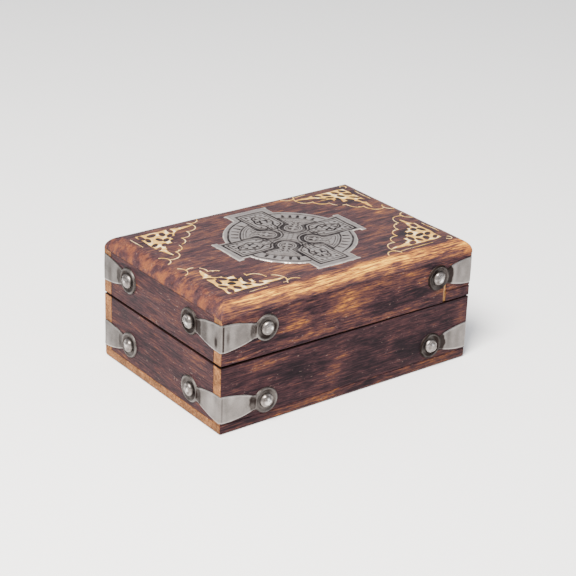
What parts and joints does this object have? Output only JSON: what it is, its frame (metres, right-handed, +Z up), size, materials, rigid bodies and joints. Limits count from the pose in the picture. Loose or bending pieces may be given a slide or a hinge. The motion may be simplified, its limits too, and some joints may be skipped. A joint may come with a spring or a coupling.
{
  "type": "wooden puzzle box",
  "caption": "Hinged wooden puzzle box: a strip draws out of the lid's edge to uncover a bolt that locks the lid. Steel corner straps and a metal cross inlay.",
  "frame": {"origin": "under the middle of the box, on the surface it stands on", "axes": "+X along the long front face to the right, +Y from the front to the hinged back, +Z up"},
  "size_m": [0.1582, 0.1072, 0.0652],
  "materials": {
    "floor_board": "stained and waxed board, worn golden along its edges",
    "top_board": "dark stained board, streaked grain, rubbed golden on its rounded edge",
    "stained_wood": "dark stained and waxed hardwood, pale end grain at the corners",
    "strip_wood": "the same hardwood, a little redder, raw where it slides",
    "plain_wood": "unstained hardwood, planed",
    "strap_steel": "tinned sheet steel, polished by hand, dark in the dished discs",
    "nail_steel": "domed nail heads, bright and a little dented",
    "inlay_metal": "pale cast fretwork, cream to gold",
    "pewter": "grey stamped plate with dark engraved lines",
    "brass": "yellow brass, rolled and turned"
  },
  "bodies": {
    "base": {"base_back_wall": "stained_wood", "base_front_wall": "stained_wood", "base_left_wall": "stained_wood", "base_nail_back_left_on_back": "nail_steel", "base_nail_back_left_on_left": "nail_steel", "base_nail_back_right_on_back": "nail_steel", "base_nail_back_right_on_right": "nail_steel", "base_nail_front_left_on_front": "nail_steel", "base_nail_front_left_on_left": "nail_steel", "base_nail_front_right_on_front": "nail_steel", "base_nail_front_right_on_right": "nail_steel", "base_right_wall": "stained_wood", "base_strap_back_left": "strap_steel", "base_strap_back_right": "strap_steel", "base_strap_front_left": "strap_steel", "base_strap_front_right": "strap_steel", "bottom_board": "floor_board", "hinge_left_base_leaf": "brass", "hinge_left_base_screw_1": "brass", "hinge_left_base_screw_2": "brass", "hinge_left_pin": "brass", "hinge_right_base_leaf": "brass", "hinge_right_base_screw_1": "brass", "hinge_right_base_screw_2": "brass", "hinge_right_pin": "brass", "keeper_block": "plain_wood", "keeper_post": "brass", "registration_peg": "plain_wood"},
    "lid": {"hinge_left_lid_leaf": "brass", "hinge_left_lid_screw_1": "brass", "hinge_left_lid_screw_2": "brass", "hinge_right_lid_leaf": "brass", "hinge_right_lid_screw_1": "brass", "hinge_right_lid_screw_2": "brass", "inlay_back_left": "inlay_metal", "inlay_back_right": "inlay_metal", "inlay_front_left": "inlay_metal", "inlay_front_right": "inlay_metal", "lid_back_wall": "stained_wood", "lid_front_wall": "stained_wood", "lid_left_wall": "stained_wood", "lid_nail_back_left_on_back": "nail_steel", "lid_nail_back_left_on_left": "nail_steel", "lid_nail_back_right_on_back": "nail_steel", "lid_nail_back_right_on_right": "nail_steel", "lid_nail_front_left_on_front": "nail_steel", "lid_nail_front_left_on_left": "nail_steel", "lid_nail_front_right_on_front": "nail_steel", "lid_nail_front_right_on_right": "nail_steel", "lid_right_wall": "stained_wood", "lid_strap_back_left": "strap_steel", "lid_strap_back_right": "strap_steel", "lid_strap_front_left": "strap_steel", "lid_strap_front_right": "strap_steel", "lid_top_board": "top_board", "lock_rail": "plain_wood", "medallion": "pewter"},
    "lock_strip": {"lock_strip": "strip_wood"},
    "lock_bolt": {"lock_bolt": "brass"}
  },
  "joints": [
    {"name": "lid_hinge", "type": "hinge", "parent": "base", "child": "lid", "pos_m": [0, 0.0521, 0.0345], "axis": [-1, 0, 0], "range_deg": [0, 110]},
    {"name": "strip_slide", "type": "slide", "parent": "lid", "child": "lock_strip", "axis": [0, -1, 0], "range_m": [0, 0.06]},
    {"name": "bolt_slide", "type": "slide", "parent": "lid", "child": "lock_bolt", "axis": [0, -1, 0], "range_m": [0, 0.007]}
  ]
}
